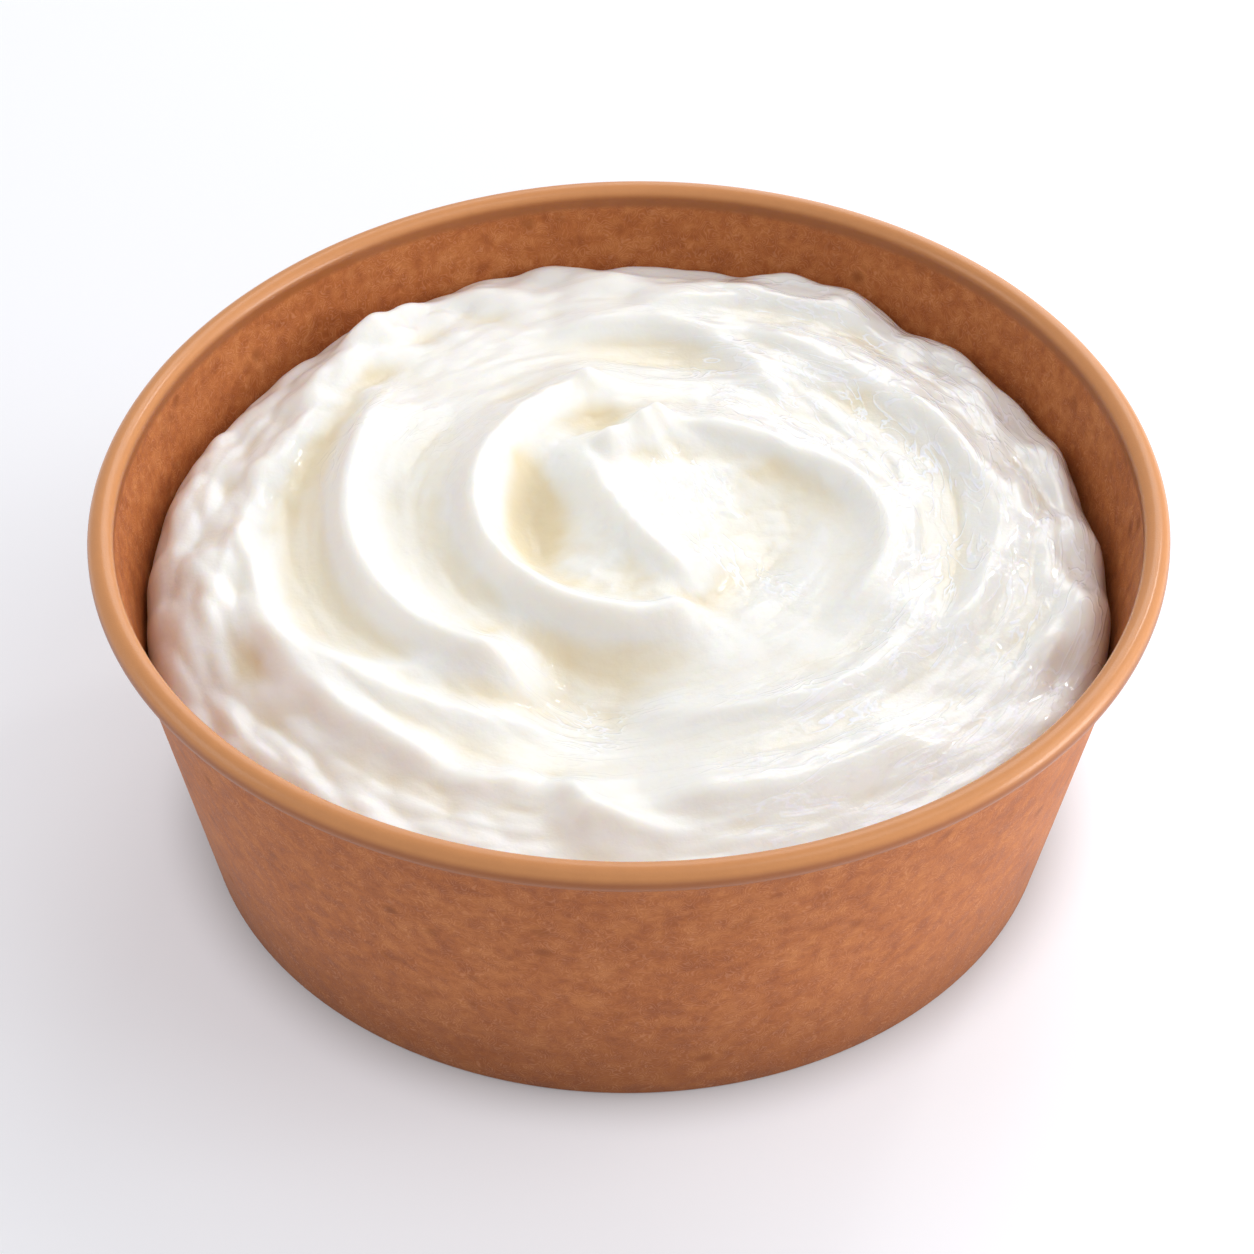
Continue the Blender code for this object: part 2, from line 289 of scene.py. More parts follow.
@dataclass(frozen=True)
class YogurtFinish:
    """Thick set yogurt, stirred smooth: wet, dense and almost white.

    Light enters and leaves again a little further on, so edges look soft. The hollows are painted
    creamy as painted shade, and the wet film on top catches fine broken highlights; its wrinkle
    crests are also painted white as painted highlight.
    """

    slot: str = "yogurt"
    milk: str = "#F4F3EE"
    cream_painted_shade: str = "#EEE0C0"
    wrinkle_painted_highlight: str = "#FFFFFF"
    scatter_mm: float = 2.5
    roughness: float = 0.24
    wrinkle_mm: float = 2.6
    wrinkle_height_mm: float = 0.15
    patch_mm: float = 11.0
    grain_mm: float = 1.1
    film_roughness: float = 0.13
    film_ior: float = 1.40
    ior: float = 1.36
    shine: float = 0.30
    scatter_colour: tuple[float, float, float] = (1.0, 0.88, 0.66)

    def material(self) -> bpy.types.Material:
        """Build the yogurt's material.

        Returns:
            The material.
        """
        material = bpy.data.materials.new("set yogurt, stirred and wet")
        material.use_nodes = True
        tree = material.node_tree
        add = partial(add_node, tree)
        place = add("ShaderNodeTexCoord").outputs["Object"]
        hollow, wet, fold_wet = (add(ATTRIBUTE, {"attribute_name": name}).outputs["Fac"]
                                 for name in ("hollow", "wet", "fold_wet"))
        # Painted shade: the hollows are painted creamy, standing in for the shade between the
        # folds.
        depth = add(RANGE, EASED, hollow, -0.1, 1.4, 0.0, 1.0)
        colour = add(MIX, COLOURS, depth, linear(self.milk), linear(self.cream_painted_shade))

        # The whey film dries in fine wrinkles that run with the swirl, and in the scoop from the
        # peak down along the fold. They come in patches, as thin broken ridges.
        patch = add(NOISE, None, place, Scale=1.0 / (self.patch_mm * MM), Detail=2.0)
        patchy = add(RANGE, EASED, patch, 0.34, 0.52, 0.2, 1.0)
        swirl = self.wrinkles(tree, "flow", (5.5, 5.5, 1.0 / self.wrinkle_mm), wet)
        fold = self.wrinkles(tree, "fold_flow", (1.0 / self.wrinkle_mm, 0.14, 1.0), fold_wet)
        both = add(MATH, "MAXIMUM", swirl, fold)
        ridge = add(MATH, "MULTIPLY", both, patchy)
        # Painted highlight: the wrinkle crests are painted pure white, standing in for the glint
        # of the wet film.
        crest = add(RANGE, EASED, ridge, 0.45, 0.9, 0.0, 0.9)
        grain = add(NOISE, None, place, Scale=1.0 / (self.grain_mm * MM), Detail=3.0)
        skin = add(MATH, "MULTIPLY_ADD", ridge, 0.2, grain)

        # Whey stands as a film only where the skin is wet; elsewhere the skin is duller.
        wettest = add(MATH, "MAXIMUM", wet, fold_wet)
        feed(tree, tree.nodes["Principled BSDF"], {
            "Base Color": add(MIX, COLOURS, crest, colour, linear(self.wrinkle_painted_highlight)),
            "Roughness": add(RANGE, None, wet, 0.0, 1.0, self.roughness + 0.16, self.roughness),
            "Normal": add(BUMP, None, Height=skin, Strength=1.0, Distance=0.07 * MM),
            "Coat Normal": add(BUMP, None, Height=ridge, Strength=1.0,
                               Distance=self.wrinkle_height_mm * MM),
            "Coat Weight": add(RANGE, None, wettest, 0.15, 0.9, 0.3, 1.0),
            "Coat Roughness": self.film_roughness, "Coat IOR": self.film_ior,
            "Specular IOR Level": self.shine, "IOR": self.ior, "Subsurface Weight": 1.0,
            "Subsurface Radius": self.scatter_colour,
            "Subsurface Scale": self.scatter_mm * MM})
        return material

    @staticmethod
    def wrinkles(tree: bpy.types.NodeTree, flow_name: str, scale: tuple[float, float, float],
                 wet: bpy.types.NodeSocket) -> bpy.types.Node:
        """Thin ridges along the level lines of a noise drawn out along a flow.

        Args:
            tree: The yogurt's shader tree.
            flow_name: Attribute that holds the flow's coordinates.
            scale: Noise cells for each unit of those coordinates.
            wet: How wet the skin is.

        Returns:
            A node with the height of the ridges from 0 to 1, times the wetness.
        """
        add = partial(add_node, tree)
        flow = add(ATTRIBUTE, {"attribute_name": flow_name}).outputs["Vector"]
        across = add("ShaderNodeMapping", {"vector_type": "POINT"}, Vector=flow, Scale=scale)
        noise = add(NOISE, None, across, Scale=1.0, Detail=2.0, Roughness=0.5, Distortion=1.0)
        gap = add(MATH, "ABSOLUTE", add(MATH, "SUBTRACT", noise, 0.5))
        ridge = add(RANGE, EASED, gap, 0.0, 0.07, 1.0, 0.0)
        return add(MATH, "MULTIPLY", ridge, wet)


@dataclass(frozen=True)
class TableFinish:
    """Matt white table that glows though no lamp is under it: painted light.

    Its light keeps the bowl's shadow pale, with a hint of lavender.
    """

    shade: str = "#CCCED0"
    painted_glow: str = "#F8F7FF"
    painted_glow_strength: float = 0.34
    painted_light_right: float = 0.20
    painted_shadow_radius: float = 57.0 * MM
    painted_light_radius: float = 71.0 * MM

    def material(self) -> bpy.types.Material:
        """Build the floor's material.

        Returns:
            The material.
        """
        material = bpy.data.materials.new("white table, matt, with painted light")
        material.use_nodes = True
        tree = material.node_tree
        add = partial(add_node, tree)
        place = add("ShaderNodeTexCoord").outputs["Object"]
        # Painted light: the floor glows more strongly to the right, as a painted pool of light,
        # and fades out near the bowl, as a painted contact shadow.
        across = add(SPLIT, None, place).outputs["X"]
        side = add(RANGE, EASED, across, -20.0 * MM, 90.0 * MM, self.painted_glow_strength,
                   self.painted_glow_strength + self.painted_light_right)
        reach = add("ShaderNodeVectorMath", "LENGTH", place)
        feed(tree, tree.nodes["Principled BSDF"], {
            "Base Color": linear(self.shade), "Roughness": 0.9, "Specular IOR Level": 0.1,
            "Emission Color": linear(self.painted_glow),
            "Emission Strength": add(RANGE, EASED, reach, self.painted_shadow_radius, self.painted_light_radius,
                                     0.02, side)})
        return material


def mesh_object(name: str, points: np.ndarray, faces: list[tuple[int, ...]],
                edges: list[tuple[int, int]] | None = None) -> bpy.types.Object:
    """Make an object from points and faces and link it to the scene.

    Args:
        name: The object's name.
        points: One row of x, y and z for each point, in metres.
        faces: Point numbers of each face.
        edges: Point numbers of loose edges, for a profile.

    Returns:
        The linked object.
    """
    mesh = bpy.data.meshes.new(name)
    mesh.from_pydata(points.tolist(), edges or [], faces)
    mesh.update()
    thing = bpy.data.objects.new(name, mesh)
    bpy.context.scene.collection.objects.link(thing)
    return thing


def new_tree(name: str, sizes: dict[str, float]) -> tuple[bpy.types.NodeTree, Any]:
    """Start a geometry node tree with named number inputs.

    Args:
        name: The tree's name.
        sizes: Input names with their values.

    Returns:
        The tree and the sockets of its inputs.
    """
    tree = bpy.data.node_groups.new(name, "GeometryNodeTree")
    tree.interface.new_socket("Geometry", in_out="INPUT", socket_type="NodeSocketGeometry")
    for label, value in sizes.items():
        item = tree.interface.new_socket(label, in_out="INPUT", socket_type="NodeSocketFloat")
        item.default_value = value
    tree.interface.new_socket("Geometry", in_out="OUTPUT", socket_type="NodeSocketGeometry")
    return tree, tree.nodes.new("NodeGroupInput").outputs


def end_tree(tree: bpy.types.NodeTree, geometry: bpy.types.Node,
             material: bpy.types.Material) -> None:
    """Close a geometry node tree with Realize Instances and Set Material.

    Args:
        tree: The node tree.
        geometry: The node that gives the finished geometry.
        material: The material of its faces.
    """
    real = add_node(tree, "GeometryNodeRealizeInstances", None, geometry)
    done = add_node(tree, "GeometryNodeSetMaterial", None, Geometry=real, Material=material)
    add_node(tree, "NodeGroupOutput", None, done)


def grow(piece: bpy.types.Object, tree: bpy.types.NodeTree, sizes: dict[str, float],
         material: bpy.types.Material) -> None:
    """Run a geometry node tree on an object and keep its result as a plain mesh.

    Args:
        piece: The object that feeds the tree.
        tree: The node tree.
        sizes: Values of its named inputs.
        material: The material that the finished mesh holds.
    """
    modifier = piece.modifiers.new(tree.name, "NODES")
    modifier.node_group = tree
    for item in tree.interface.items_tree:
        if item.name in sizes:
            modifier[item.identifier] = sizes[item.name]
    depsgraph = bpy.context.evaluated_depsgraph_get()
    mesh = bpy.data.meshes.new_from_object(piece.evaluated_get(depsgraph))
    piece.modifiers.remove(modifier)
    old = piece.data
    mesh.name = piece.name
    piece.data = mesh
    bpy.data.meshes.remove(old)
    mesh.materials.clear()
    mesh.materials.append(material)
    mesh.polygons.foreach_set("material_index", [0] * len(mesh.polygons))
    mesh.shade_smooth()


@dataclass
class PaperBowl:
    """The kraft paper bowl: floor, tapered wall, rolled rim and foot as one turned piece."""

    round_off: OutOfRound
    finish: KraftPaperFinish = field(default_factory=KraftPaperFinish)
    rim_radius: float = 74.94 * MM
    rim_height: float = 55.56 * MM
    base_radius: float = 61.8 * MM
    neck_radius: float = 72.1 * MM
    neck_height: float = 51.9 * MM
    paper: float = 0.6 * MM
    roll_width: float = 3.6 * MM
    roll_height: float = 3.7 * MM
    roll_start: float = math.radians(195)
    roll_end: float = math.radians(-124)
    roll_steps: int = 28
    lip: float = 0.28 * MM
    recess: float = 5.0 * MM
    foot_width: float = 1.6 * MM
    foot_bevel: float = 0.3 * MM
    floor_fillet: float = 2.0 * MM
    segments: int = 360
    wall_rows: int = 16
    dent: float = 0.10 * MM
    dent_length: float = 22.0 * MM

    def wall(self, z: Any) -> Any:
        """Outer radius of the round, tapered wall at height z."""
        return self.base_radius + (self.neck_radius - self.base_radius) * z / self.neck_height

    def profile(self) -> np.ndarray:
        """Section from the inner floor over the rim and down to the underside.

        Returns:
            One row of radius, zero and height for each point.
        """
        floor = self.recess + self.paper
        fillet = self.floor_fillet
        corner = self.wall(floor + fillet) - self.paper - fillet
        rows = [(0.0, floor), (corner * 0.5, floor)]
        for turn in np.radians(np.linspace(-90.0, -8.0, 7)):
            rows.append((corner + fillet * math.cos(turn),
                         floor + fillet * (1.0 + math.sin(turn))))
        neck = self.neck_height - self.paper
        for z in np.linspace(floor + 1.3 * fillet, neck, self.wall_rows):
            rows.append((self.wall(z) - self.paper, z))
        roll_x = self.rim_radius - self.roll_width / 2.0
        roll_z = self.rim_height - self.roll_height / 2.0
        for turn in np.linspace(self.roll_start, self.roll_end, self.roll_steps):
            rows.append((roll_x + self.roll_width / 2.0 * math.cos(turn),
                         roll_z + self.roll_height / 2.0 * math.sin(turn)))
        # The cut edge of the rolled paper shows as a thin lip under the roll.
        lip_z = rows[-1][1] - self.lip
        for turn in np.radians(np.linspace(60.0, -70.0, 6)):
            rows.append((self.wall(lip_z) + self.lip * 0.9 * math.cos(turn),
                         lip_z + self.lip * (math.sin(turn) - 0.4)))
        for z in np.linspace(lip_z - 2.2 * self.lip, self.foot_bevel, self.wall_rows):
            rows.append((self.wall(z), z))
        inner = self.base_radius - self.foot_width
        bevel = self.foot_bevel
        rows += [(self.base_radius - 0.3 * bevel, 0.3 * bevel), (self.base_radius - bevel, 0.0),
                 (inner + bevel, 0.0), (inner + 0.3 * bevel, 0.3 * bevel), (inner, bevel),
                 (inner, self.recess), (inner * 0.5, self.recess), (0.0, self.recess)]
        return np.array([(x, 0.0, z) for x, z in rows])

    def sizes(self) -> dict[str, float]:
        """Sizes that the node tree takes.

        Returns:
            Input names with their values.
        """
        centre_x, centre_y = self.round_off.centre()
        sizes = {"Height": self.round_off.height, "Foot Shift": self.round_off.foot_shift,
                 "Centre X": centre_x, "Centre Y": centre_y, "Dent": self.dent,
                 "Dent Length": self.dent_length}
        for lobes, cosine, sine in self.round_off.lobes:
            sizes |= {f"Lobes {lobes} Cosine": cosine, f"Lobes {lobes} Sine": sine}
        return sizes

    def tree(self, rows: int, material: bpy.types.Material) -> bpy.types.NodeTree:
        """Node tree that turns the profile about Z and pulls it out of round.

        Args:
            rows: Number of points in the profile.
            material: The paper's material.

        Returns:
            The tree.
        """
        tree, size = new_tree("turn paper bowl", self.sizes())
        add = partial(add_node, tree)

        sheet = add("GeometryNodeMeshGrid", None, Vertices_X=rows, Vertices_Y=self.segments + 1)
        number = add("GeometryNodeInputIndex")
        per_row = self.segments + 1.0
        ratio = add(MATH, "DIVIDE", number, per_row)
        row = add(MATH, "FLOOR", add(MATH, "ADD", ratio, 0.5 / per_row))
        column = add(MATH, "SUBTRACT", number, add(MATH, "MULTIPLY", row, per_row))
        angle = add(MATH, "MULTIPLY", column, -2.0 * math.pi / self.segments)

        sample = add("GeometryNodeSampleIndex", {"data_type": "FLOAT_VECTOR"},
                     size["Geometry"], add("GeometryNodeInputPosition"), row)
        parts = add(SPLIT, None, sample).outputs
        rise = add(MATH, "DIVIDE", parts["Z"], size["Height"])
        bulge: Any = 0.0
        for lobes, _, _ in self.round_off.lobes:
            turn = add(MATH, "MULTIPLY", angle, float(lobes))
            cosine = add(MATH, "MULTIPLY", add(MATH, "COSINE", turn),
                         size[f"Lobes {lobes} Cosine"])
            sine = add(MATH, "MULTIPLY", add(MATH, "SINE", turn), size[f"Lobes {lobes} Sine"])
            bulge = add(MATH, "ADD", bulge, add(MATH, "ADD", cosine, sine))
        stretch = add(MATH, "ADD", 1.0, add(MATH, "MULTIPLY", bulge, rise))
        reach = add(MATH, "MULTIPLY", parts["X"], stretch)
        shift = add(MATH, "MULTIPLY", size["Foot Shift"], add(MATH, "SUBTRACT", 1.0, rise))
        x = add(MATH, "MULTIPLY", reach, add(MATH, "COSINE", angle))
        x = add(MATH, "SUBTRACT", add(MATH, "ADD", x, shift), size["Centre X"])
        y = add(MATH, "MULTIPLY", reach, add(MATH, "SINE", angle))
        y = add(MATH, "SUBTRACT", y, size["Centre Y"])
        turned = add(MOVE, None, Geometry=sheet, Position=add(JOIN, None, x, y, parts["Z"]))
        closed = add("GeometryNodeMergeByDistance", None, Geometry=turned, Distance=0.004 * MM)

        # Handling leaves shallow dents in the wall, never in the flat foot.
        scale = add(MATH, "DIVIDE", 1.0, size["Dent Length"])
        level = add(MATH, "SUBTRACT", add(NOISE, None, Scale=scale, Detail=1.0), 0.5)
        here = add(SPLIT, None, add("GeometryNodeInputPosition")).outputs
        free = add(MATH, "DIVIDE", here["Z"], size["Height"])
        depth = add(MATH, "MULTIPLY", add(MATH, "MULTIPLY", level, free), size["Dent"])
        outward = add("ShaderNodeVectorMath", "NORMALIZE", add(JOIN, None, here["X"], here["Y"]))
        offset = add("ShaderNodeVectorMath", "SCALE", outward, Scale=depth)
        dented = add(MOVE, None, Geometry=closed, Offset=offset)
        # The sheet was rolled up with its inner side out, so its faces are turned over.
        end_tree(tree, add("GeometryNodeFlipFaces", None, Mesh=dented), material)
        return tree

    def build(self) -> bpy.types.Object:
        """Build the bowl, dress it and put it in place of its plain solid.

        Returns:
            The finished bowl.
        """
        material = self.finish.material()
        rows = self.profile()
        edges = [(i, i + 1) for i in range(len(rows) - 1)]
        piece = mesh_object("kraft_bowl", rows, [], edges)
        grow(piece, self.tree(len(rows), material), self.sizes(), material)
        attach(piece, ROOT)
        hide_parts("paper_bowl")
        return piece


class Rise(Enum):
    """How a round rise falls away from its top."""

    SOFT = "soft"
    POINTED = "pointed"


@dataclass(frozen=True)
class Stroke:
    """A ridge left by the spoon: a bent path in mm, turning by bend degrees per 100 mm."""

    x: float
    y: float
    heading: float
    length: float
    bend: tuple[float, float, float]
    height: float
    left: float
    right: float
    crest: float = 2.0
    fade: tuple[float, float] = (10.0, 10.0)

    def path(self, steps: int = 48) -> tuple[np.ndarray, ...]:
        """Points, directions and run along the stroke.

        Args:
            steps: Number of short straight steps.

        Returns:
            Arrays of x, y, cosine and sine of the heading, and the length run so far.
        """
        u = np.linspace(0.0, 1.0, steps + 1)
        start, middle, end = np.radians(self.bend) / 100.0
        bend = start * (1 - u) * (1 - 2 * u) + middle * 4 * u * (1 - u) + end * u * (2 * u - 1)
        step = self.length / steps
        turn = np.concatenate([[0.0], np.cumsum((bend[1:] + bend[:-1]) / 2.0)]) * step
        angle = math.radians(self.heading) + turn
        c, s = np.cos(angle), np.sin(angle)
        x = self.x + np.concatenate([[0.0], np.cumsum((c[1:] + c[:-1]) / 2.0)]) * step
        y = self.y + np.concatenate([[0.0], np.cumsum((s[1:] + s[:-1]) / 2.0)]) * step
        return x, y, c, s, u * self.length

    def raised(self, x: np.ndarray, y: np.ndarray) -> np.ndarray:
        """Height that the ridge adds: a rounded crest with hollow flanks.

        Args:
            x: Points across the bowl in mm.
            y: Points along the view in mm.

        Returns:
            The added heights in mm.
        """
        path_x, path_y, c, s, run = self.path()
        near = ((x[:, None] - path_x) ** 2 + (y[:, None] - path_y) ** 2).argmin(axis=1)
        dx, dy = x - path_x[near], y - path_y[near]
        along = np.clip(run[near] + dx * c[near] + dy * s[near], 0.0, self.length)
        across = dy * c[near] - dx * s[near]
        width = (self.left + self.right + (self.left - self.right) * np.tanh(across)) / 2.0
        flank = np.exp(-(np.sqrt(across ** 2 + self.crest ** 2) - self.crest) / width)
        fade = smooth_step(along / self.fade[0])
        fade = fade * smooth_step((self.length - along) / self.fade[1])
        return self.height * flank * fade


@dataclass(frozen=True)
class Mound:
    """A round rise in mm, soft or pointed, or a hollow where its height is below zero."""

    x: float
    y: float
    radius_x: float
    radius_y: float
    turn: float
    height: float
    rise: Rise = Rise.SOFT
    tip: float = 0.3
    fall: float = 1.4

    def raised(self, x: np.ndarray, y: np.ndarray) -> np.ndarray:
        """Height that the mound adds.

        Args:
            x: Points across the bowl in mm.
            y: Points along the view in mm.

        Returns:
            The added heights in mm.
        """
        c, s = math.cos(math.radians(self.turn)), math.sin(math.radians(self.turn))
        dx, dy = x - self.x, y - self.y
        u = (c * dx + s * dy) / self.radius_x
        v = (c * dy - s * dx) / self.radius_y
        fall = u * u + v * v
        if self.rise is Rise.POINTED:
            fall = self.fall * (np.sqrt(fall + self.tip ** 2) - self.tip)
        return self.height * np.exp(-fall)


def smooth_step(share: Any) -> np.ndarray:
    """Ease from 0 to 1 with flat ends, given a share that may lie beyond them."""
    t = np.clip(share, 0.0, 1.0)
    return t * t * (3.0 - 2.0 * t)


# Where each ridge starts, its heading in degrees, its length, its bend at the start, middle and
# end, its height, and the width of its left and right flanks. A narrow flank is the steep side.
STROKES: dict[str, Stroke] = {
    "back arc": Stroke(-15.2, 48, 29, 50, (20, -310, 250), 1.9, 2.7, 1.6, 2.1, (13, 9)),
    "long right arc": Stroke(13.4, 53, -29, 95, (-19, -126, -161), 2.0, 2.6, 1.4, 2.0, (14, 12)),
    "back lobe": Stroke(-2, 56.5, -2, 42, (280, -240, -235), 1.3, 4.0, 1.2, 1.7),
    "scoop rim": Stroke(5, 27.5, -13, 67, (67, -274, -115), 2.4, 3.3, 1.4, 1.8, (9, 14)),
    "sharp fold": Stroke(-6.2, 18.9, -84, 34, (189, 131, -18), 4.2, 7.0, 2.8, 1.2, (8, 7)),
    "peak crest": Stroke(-6.1, 18.9, 33, 12, (13, 74, 4), 2.6, 1.6, 4.0, 0.9, (4, 3)),
    "inner ridge": Stroke(-6.6, 34.9, -138, 81, (79, 235, 361), 4.9, 2.8, 2.1, 1.9, (8, 7)),
    "inner double": Stroke(-14, 32, -141, 67, (195, 215, 195), 1.0, 3.2, 2.5, 1.7, (7, 7)),
    "left ridge": Stroke(-33, 40.6, -109, 86, (-14, 148, 190), 4.4, 4.2, 2.1, 2.0, (20, 12)),
    "outer left ridge": Stroke(-54.3, 8.6, -83, 70, (-34, 126, 0), 3.4, 3.2, 2.1, 2.0, (14, 12)),
    "left fold": Stroke(-44.8, -18.3, -76, 44, (425, 141, 96), 1.7, 2.4, 1.6, 1.6, (12, 12)),
    "wall ridge": Stroke(-59, 28, -113, 95, (85, 175, 160), 1.8, 2.7, 4.9, 2.0),
    "upper left ridge": Stroke(-29, 52, -159, 90, (310, 20, 320), 2.4, 1.3, 3.1, 2.5),
    "back left crease": Stroke(-49.7, 28.3, 74, 53, (-20, -165, -70), 1.2, 1.5, 1.2, 1.1),
    "front fold": Stroke(-24.7, -45.3, -25, 16, (175, 466, -447), 2.0, 2.1, 1.5, 1.6, (6, 7)),
    "front lip": Stroke(-9.8, -43.1, -72, 25, (28, 456, -199), 2.8, 3.0, 1.8, 1.6, (7, 12)),
    "front lobe": Stroke(-8, -49.5, -64, 10, (6, 55, 5), 1.6, 2.0, 1.4, 1.5, (5, 6)),
    "front right ridge": Stroke(0, -49.2, 6, 48, (-100, 145, 15), 2.6, 5.0, 3.4, 2.0, (11, 13)),
    "scoop apron": Stroke(39.8, -6, -80, 60, (-315, -200, -150), 1.8, 2.7, 3.3, 1.8),
    "outer right ridge": Stroke(37, 35.5, -49, 90, (-65, -40, -40), 1.2, 2.4, 2.8, 1.7),
}

MOUNDS: dict[str, Mound] = {
    "peak": Mound(3.7, 26.2, 3.8, 3.4, 0, 5.4, Rise.POINTED),
    "back peak": Mound(-6.6, 35.6, 4.8, 4.2, 30, 4.6, Rise.POINTED),
    "shoulder": Mound(-5.9, 19.0, 6.0, 4.8, 27, 2.8),
    "saddle": Mound(-6.5, 28.5, 6.0, 4.0, 20, -1.6),
    "scoop": Mound(19.0, 6.5, 10.8, 18.5, -30, -3.8),
    "hollow": Mound(-14.0, 4.0, 5.5, 9.5, 3, -3.6),
    "front dip": Mound(-3.5, -28.5, 15.0, 12.0, -16, -3.4),
    "back dip": Mound(4.8, 46.4, 16.0, 6.4, -5, -2.0),
    "left rise": Mound(-27.0, 15.0, 13.0, 25.0, 0, 2.6),
}


@dataclass
class Yogurt:
    """The yogurt: one body from the bowl's floor up to its swirled, wrinkled top."""

    bowl: PaperBowl
    finish: YogurtFinish = field(default_factory=YogurtFinish)
    clearance: float = 0.12 * MM
    level: float = 43.5
    slope_x: float = 0.012
    slope_y: float = 0.022
    edge_band: float = 0.115
    edge_drop: float = 7.6
    edge_drop_x: float = 1.2
    edge_drop_y: float = -1.7
    edge_drop_twice: float = 2.4
    cells: int = 290
    chunk: int = 20000
    swirl_x: float = 2.0
    swirl_y: float = 6.0
    fan_x: float = -5.0
    fan_y: float = 40.0
    fan_radius: float = 32.0
    dry_x: float = 8.0
    dry_y: float = -2.0
    dry_radius: float = 24.0
    lumps_from: float = 0.66
    scallops_from: float = 0.78
    fold_spots: tuple[tuple[float, float, float], ...] = (
        (7.0, 17.0, 6.0), (10.0, 9.0, 7.0), (15.0, 0.0, 7.0), (20.0, -8.0, 5.0))
    wet_spots: tuple[tuple[float, float, float, float], ...] = (
        (-5.0, -34.0, 8.0, 0.7), (-36.0, 22.0, 9.0, 0.5), (-20.0, -30.0, 8.0, 0.3),
        (10.0, 45.0, 14.0, 0.4))
    lump: float = 1.35 * MM
    lump_width: float = 6.5
    lump_turns: float = 5.6
    scallop: float = 5.0 * MM
    scallop_scale: float = 0.9
    pebble: float = 1.15 * MM
    pebble_width: float = 3.0
    pebble_turns: float = 10.0
    streak: float = 0.36 * MM
    streak_width: float = 3.6
    streak_turns: float = 2.2
    blur_steps: int = 130

    def surface(self, x: np.ndarray, y: np.ndarray, share: np.ndarray) -> np.ndarray:
        """Height of the yogurt's top.

        Args:
            x: Points across the bowl in mm.
            y: Points along the view in mm.
            share: 0 at the middle and 1 at the wall.

        Returns:
            Heights in mm above what the bowl stands on.
        """
        angle = np.arctan2(y, x)
        drop = (self.edge_drop + self.edge_drop_x * np.cos(angle)
                + self.edge_drop_y * np.sin(angle) + self.edge_drop_twice * np.cos(2.0 * angle))
        edge = np.clip((share - 1.0 + self.edge_band) / self.edge_band, 0.0, 1.0)
        height = self.level + self.slope_x * x + self.slope_y * y
        height = height - drop * (1.0 - np.sqrt(1.0 - 0.97 * edge ** 2))
        shapes = list(STROKES.values()) + list(MOUNDS.values())
        for start in range(0, len(x), self.chunk):
            part = slice(start, start + self.chunk)
            height[part] += sum(shape.raised(x[part], y[part]) for shape in shapes)
        return height

    def disc(self) -> tuple[np.ndarray, np.ndarray, list[tuple[int, ...]], list[int]]:
        """Even square cells laid over a unit disc.

        Returns:
            Points x and y, the faces, and the point numbers round the edge.
        """
        n = self.cells
        line = np.linspace(-1.0, 1.0, n + 1)
        a, b = np.meshgrid(line, line)
        wide = np.abs(a) > np.abs(b)
        safe_a = np.where(a == 0.0, 1.0, a)
        safe_b = np.where(b == 0.0, 1.0, b)
        radius = np.where(wide, a, b)
        turn = np.where(wide, math.pi / 4.0 * b / safe_a,
                        math.pi / 2.0 - math.pi / 4.0 * a / safe_b)
        turn = np.where((a == 0.0) & (b == 0.0), 0.0, turn)
        x, y = (radius * np.cos(turn)).ravel(), (radius * np.sin(turn)).ravel()
        w = n + 1
        faces = [(j * w + i, j * w + i + 1, (j + 1) * w + i + 1, (j + 1) * w + i)
                 for j in range(n) for i in range(n)]
        ring = list(range(n)) + [j * w + n for j in range(n)]
        ring += [n * w + i for i in range(n, 0, -1)] + [j * w for j in range(n, 0, -1)]
        return x, y, faces, ring

    def body(self) -> bpy.types.Object:
        """Closed body of the yogurt before its skin is wrinkled.

        Returns:
            The object, with the attributes of mark on its points.
        """
        unit_x, unit_y, faces, ring = self.disc()
        bowl, shape = self.bowl, self.bowl.round_off
        inset = bowl.paper + self.clearance
        level = self.level * MM
        edge = bowl.wall(level) - inset
        share = np.hypot(unit_x, unit_y)
        x, y = unit_x * edge, unit_y * edge
        oval_x, oval_y = shape.carry(x, y, level)
        height = self.surface(oval_x / MM, oval_y / MM, share) * MM
        taper = 1.0 + share * (bowl.wall(height) - bowl.wall(level)) / edge
        top_x, top_y = shape.carry(x * taper, y * taper, height)
        top_z = self.surface(top_x / MM, top_y / MM, share) * MM

        points = [np.stack([top_x, top_y, top_z], axis=1)]
        floor = bowl.recess + bowl.paper + self.clearance
        corner = floor + bowl.floor_fillet + self.clearance
        turn = np.arctan2(unit_y[ring], unit_x[ring])
        count = len(ring)
        previous, base = ring, len(unit_x)
        low = bowl.wall(corner) - inset
        lowest = bowl.wall(floor) - inset - bowl.floor_fillet
        for radius, z in ((low, corner), (lowest, floor), (lowest * 0.5, floor)):
            ring_x, ring_y = shape.carry(radius * np.cos(turn), radius * np.sin(turn), z)
            points.append(np.stack([ring_x, ring_y, np.full(count, z)], axis=1))
            row = list(range(base, base + count))
            for i in range(count):
                k = (i + 1) % count
                faces.append((previous[i], row[i], row[k], previous[k]))
            previous, base = row, base + count
        points.append(np.array([[shape.foot_shift, 0.0, floor]]))
        faces += [(previous[i], base, previous[(i + 1) % count]) for i in range(count)]
        all_points = np.concatenate(points)

        piece_points = all_points - np.array([*shape.centre(), 0.0])
        piece = mesh_object("swirled_yogurt", piece_points, faces)
        self.mark(piece.data, all_points / MM, len(unit_x), share)
        return piece

